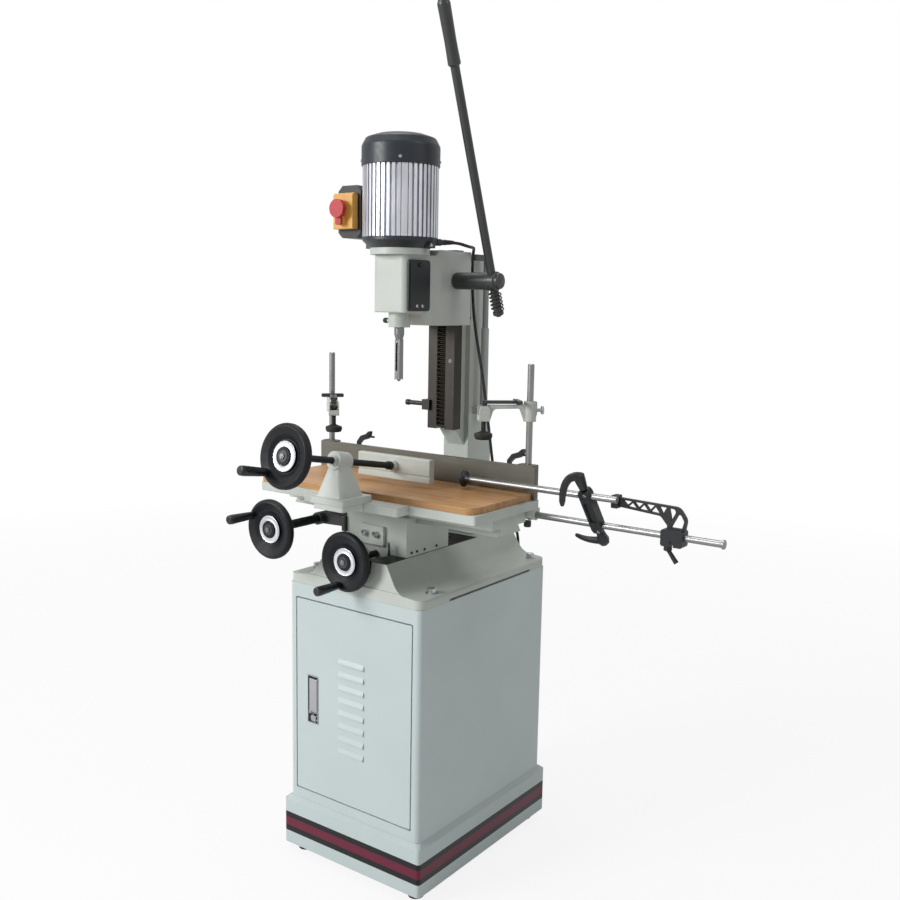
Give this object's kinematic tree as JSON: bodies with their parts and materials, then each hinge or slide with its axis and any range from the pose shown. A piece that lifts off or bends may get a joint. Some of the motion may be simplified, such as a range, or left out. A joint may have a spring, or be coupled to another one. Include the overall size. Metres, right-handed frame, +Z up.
{
  "type": "benchtop mortiser",
  "caption": "Floor-standing hollow-chisel mortiser on a steel cabinet, with lever-fed head, cross-slide table, vice, fence, hold-downs and length stops.",
  "frame": {"origin": "on the floor under the middle of the cabinet", "axes": "+X to the operator's right, +Y away from the operator toward the column, +Z up"},
  "size_m": [1.0439, 1.0203, 1.8793],
  "materials": {
    "cream_paint": "satin",
    "grey_casting": "satin",
    "grey_iron": "satin",
    "stripe_paint": "satin",
    "black_rubber": "matte",
    "black_steel": "satin",
    "black_plastic": "satin",
    "yellow_plastic": "gloss",
    "green_plastic": "gloss",
    "ground_steel": "ground",
    "bright_steel": "polished",
    "dark_iron": "ground",
    "motor_aluminium": "satin",
    "beech_board": "sanded",
    "cord_rubber": "satin"
  },
  "bodies": {
    "frame": {"cabinet_shell": "cream_paint", "cabinet_plinth": "stripe_paint", "cabinet_feet": "black_rubber", "base_casting": "grey_casting", "column": "grey_casting", "column_way": "dark_iron", "feed_rack": "dark_iron", "strut_rod": "bright_steel", "power_cord": "cord_rubber", "cord_coil": "cord_rubber", "cord_plug": "cord_rubber"},
    "door": {"door_panel": "cream_paint", "door_latch": "bright_steel"},
    "latch": {"latch_paddle": "ground_steel"},
    "saddle": {"saddle": "grey_casting", "x_bearing": "black_steel"},
    "y_screw": {"y_handwheel": "black_steel"},
    "y_grip": {"y_handle": "black_plastic"},
    "x_shaft": {"x_handwheel": "black_steel"},
    "x_grip": {"x_handle": "black_plastic"},
    "table": {"table_casting": "grey_casting", "table_board": "beech_board", "vice_bracket": "grey_casting"},
    "jaw": {"vice_jaw": "grey_casting"},
    "vice_screw": {"vice_handwheel": "black_steel"},
    "vice_grip": {"vice_handle": "black_plastic"},
    "fence": {"fence": "ground_steel"},
    "lock_left": {"fence_lock_left": "black_plastic"},
    "lock_right": {"fence_lock_right": "black_plastic"},
    "post_left": {"hold_post_left": "bright_steel"},
    "post_right": {"hold_post_right": "bright_steel"},
    "arm_left": {"hold_arm_left": "grey_casting"},
    "arm_right": {"hold_arm_right": "grey_casting"},
    "cam_left": {"hold_cam_left": "black_steel"},
    "cam_right": {"hold_cam_right": "black_steel"},
    "foot_left": {"hold_foot_left": "black_rubber"},
    "foot_right": {"hold_foot_right": "black_rubber"},
    "lower_rod": {"stop_rod_lower": "bright_steel"},
    "link": {"stop_link": "black_steel"},
    "link_lever_top": {"stop_lever_top": "black_plastic"},
    "link_lever_low": {"stop_lever_low": "black_plastic"},
    "upper_rod": {"stop_rod_upper": "bright_steel"},
    "truss": {"truss_arm": "black_plastic"},
    "truss_clamp": {"truss_lever": "black_plastic"},
    "stop": {"depth_stop": "dark_iron"},
    "head": {"head_casting": "grey_iron", "chuck_cover": "black_plastic", "motor_flange": "black_steel", "motor_body": "motor_aluminium", "fan_cover": "black_plastic", "switch_box": "black_plastic", "chisel": "ground_steel", "strut_tube": "black_steel"},
    "pinion": {"feed_pinion": "dark_iron"},
    "hub": {"feed_hub": "black_steel", "feed_lever": "black_steel", "lever_spring": "dark_iron"},
    "spindle": {"spindle_auger": "bright_steel"},
    "flap": {"switch_flap": "yellow_plastic"},
    "button": {"start_button": "green_plastic"}
  },
  "joints": [
    {"name": "door_hinge", "type": "hinge", "parent": "frame", "child": "door", "pos_m": [0.16, -0.2405, 0.389], "axis": [0, 0, 1], "range_deg": [0, 110]},
    {"name": "latch_pull", "type": "hinge", "parent": "door", "child": "latch", "pos_m": [-0.1165, -0.2415, 0.431], "axis": [-1, 0, 0], "range_deg": [0, 35], "stiffness_Nm_per_rad": 0.3},
    {"name": "y_screw_turn", "type": "hinge", "parent": "frame", "child": "y_screw", "pos_m": [0, -0.268, 0.729], "axis": [0, 1, 0], "range_deg": [-2880, 2880]},
    {"name": "saddle_slide", "type": "slide", "parent": "frame", "child": "saddle", "axis": [0, 1, 0], "range_m": [-0.041, 0.041]},
    {"name": "y_handle_spin", "type": "hinge", "parent": "y_screw", "child": "y_grip", "pos_m": [-0.0104, -0.268, 0.67805], "axis": [0, 1, 0], "continuous": true},
    {"name": "table_slide", "type": "slide", "parent": "saddle", "child": "table", "axis": [1, 0, 0], "range_m": [-0.135, 0.105]},
    {"name": "x_shaft_turn", "type": "hinge", "parent": "saddle", "child": "x_shaft", "pos_m": [-0.16, -0.332, 0.788], "axis": [0, 1, 0], "range_deg": [-649, 506]},
    {"name": "x_handle_spin", "type": "hinge", "parent": "x_shaft", "child": "x_grip", "pos_m": [-0.20473, -0.332, 0.81452], "axis": [0, 1, 0], "continuous": true},
    {"name": "jaw_slide", "type": "slide", "parent": "table", "child": "jaw", "axis": [0, 0.9848, -0.1736], "range_m": [-0.061, 0.056]},
    {"name": "vice_turn", "type": "hinge", "parent": "jaw", "child": "vice_screw", "pos_m": [0.018, -0.462, 0.981], "axis": [0, 0.9848, -0.1736], "range_deg": [-4320, 3960]},
    {"name": "vice_handle_spin", "type": "hinge", "parent": "vice_screw", "child": "vice_grip", "pos_m": [-0.01954, -0.46825, 0.94557], "axis": [0, 0.9848, -0.1736], "continuous": true},
    {"name": "fence_slide", "type": "slide", "parent": "table", "child": "fence", "axis": [0, 1, 0], "range_m": [0, 0.01]},
    {"name": "lock_left_turn", "type": "hinge", "parent": "table", "child": "lock_left", "pos_m": [-0.205, 0.008, 0.9], "axis": [0, 0, 1], "range_deg": [-60, 60]},
    {"name": "lock_right_turn", "type": "hinge", "parent": "table", "child": "lock_right", "pos_m": [0.232, 0.008, 0.9], "axis": [0, 0, 1], "range_deg": [-60, 60]},
    {"name": "post_left_turn", "type": "hinge", "parent": "fence", "child": "post_left", "pos_m": [-0.279, -0.0085, 0.9], "axis": [0, 0, 1], "range_deg": [-60, 60]},
    {"name": "arm_left_slide", "type": "slide", "parent": "post_left", "child": "arm_left", "axis": [0, 0, 1], "range_m": [-0.06, 0.08]},
    {"name": "cam_left_turn", "type": "hinge", "parent": "arm_left", "child": "cam_left", "pos_m": [-0.20829, -0.07921, 1.038], "axis": [0.7071, 0.7071, 0], "range_deg": [0, 100]},
    {"name": "foot_left_slide", "type": "slide", "parent": "arm_left", "child": "foot_left", "axis": [0, 0, 1], "range_m": [0, 0.0031]},
    {"name": "post_right_turn", "type": "hinge", "parent": "fence", "child": "post_right", "pos_m": [0.291, -0.0085, 0.9], "axis": [0, 0, 1], "range_deg": [-60, 60]},
    {"name": "arm_right_slide", "type": "slide", "parent": "post_right", "child": "arm_right", "axis": [0, 0, 1], "range_m": [-0.08, 0.06]},
    {"name": "cam_right_turn", "type": "hinge", "parent": "arm_right", "child": "cam_right", "pos_m": [0.22029, -0.07921, 1.06], "axis": [0.7071, -0.7071, 0], "range_deg": [0, 100]},
    {"name": "foot_right_slide", "type": "slide", "parent": "arm_right", "child": "foot_right", "axis": [0, 0, 1], "range_m": [0, 0.0031]},
    {"name": "lower_rod_slide", "type": "slide", "parent": "table", "child": "lower_rod", "axis": [1, 0, 0], "range_m": [-0.03, 0.08]},
    {"name": "link_slide", "type": "slide", "parent": "lower_rod", "child": "link", "axis": [1, 0, 0], "range_m": [-0.05, 0.1]},
    {"name": "upper_rod_slide", "type": "slide", "parent": "link", "child": "upper_rod", "axis": [1, 0, 0], "range_m": [-0.06, 0.1]},
    {"name": "link_lever_top_turn", "type": "hinge", "parent": "link", "child": "link_lever_top", "pos_m": [0.465, -0.0398, 0.869], "axis": [0, -0.6104, 0.7921], "range_deg": [-30, 30]},
    {"name": "link_lever_low_turn", "type": "hinge", "parent": "link", "child": "link_lever_low", "pos_m": [0.465, -0.0398, 0.869], "axis": [0, -0.6104, 0.7921], "range_deg": [-30, 30]},
    {"name": "truss_slide", "type": "slide", "parent": "lower_rod", "child": "truss", "axis": [1, 0, 0], "range_m": [-0.06, 0.06]},
    {"name": "truss_clamp_turn", "type": "hinge", "parent": "truss", "child": "truss_clamp", "pos_m": [0.622, -0.0136, 0.81], "axis": [0, 0, 1], "range_deg": [-45, 45]},
    {"name": "stop_slide", "type": "slide", "parent": "frame", "child": "stop", "axis": [0, 0, 1], "range_m": [-0.04, 0.17]},
    {"name": "head_slide", "type": "slide", "parent": "frame", "child": "head", "axis": [0, 0, 1], "range_m": [-0.15, 0], "deforming": ["power_cord"]},
    {"name": "pinion_turn", "type": "hinge", "parent": "head", "child": "pinion", "pos_m": [0, 0.0356, 1.33], "axis": [1, 0, 0], "range_deg": [-1, 288]},
    {"name": "lever_swing", "type": "hinge", "parent": "head", "child": "hub", "pos_m": [0.158, 0.0356, 1.33], "axis": [1, 0, 0], "range_deg": [-25, 85]},
    {"name": "spindle_spin", "type": "hinge", "parent": "head", "child": "spindle", "pos_m": [0, -0.094, 1.3], "axis": [0, 0, 1], "continuous": true},
    {"name": "flap_hinge", "type": "hinge", "parent": "head", "child": "flap", "pos_m": [-0.121, -0.136, 1.512], "axis": [-1, 0, 0], "range_deg": [0, 100]},
    {"name": "button_press", "type": "slide", "parent": "head", "child": "button", "axis": [0, 1, 0], "range_m": [0, 0.004], "stiffness_N_per_m": 300}
  ],
  "couplings": [
    {"joint": "saddle_slide", "follows": "y_screw_turn", "m_per_rad": 0.00079577},
    {"joint": "x_shaft_turn", "follows": "table_slide", "rad_per_m": 83.333},
    {"joint": "jaw_slide", "follows": "vice_turn", "m_per_rad": 0.00079577},
    {"joint": "foot_left_slide", "follows": "cam_left_turn", "m_per_rad": 0.0017189},
    {"joint": "foot_right_slide", "follows": "cam_right_turn", "m_per_rad": 0.0017189},
    {"joint": "pinion_turn", "follows": "head_slide", "rad_per_m": -33.333}
  ]
}
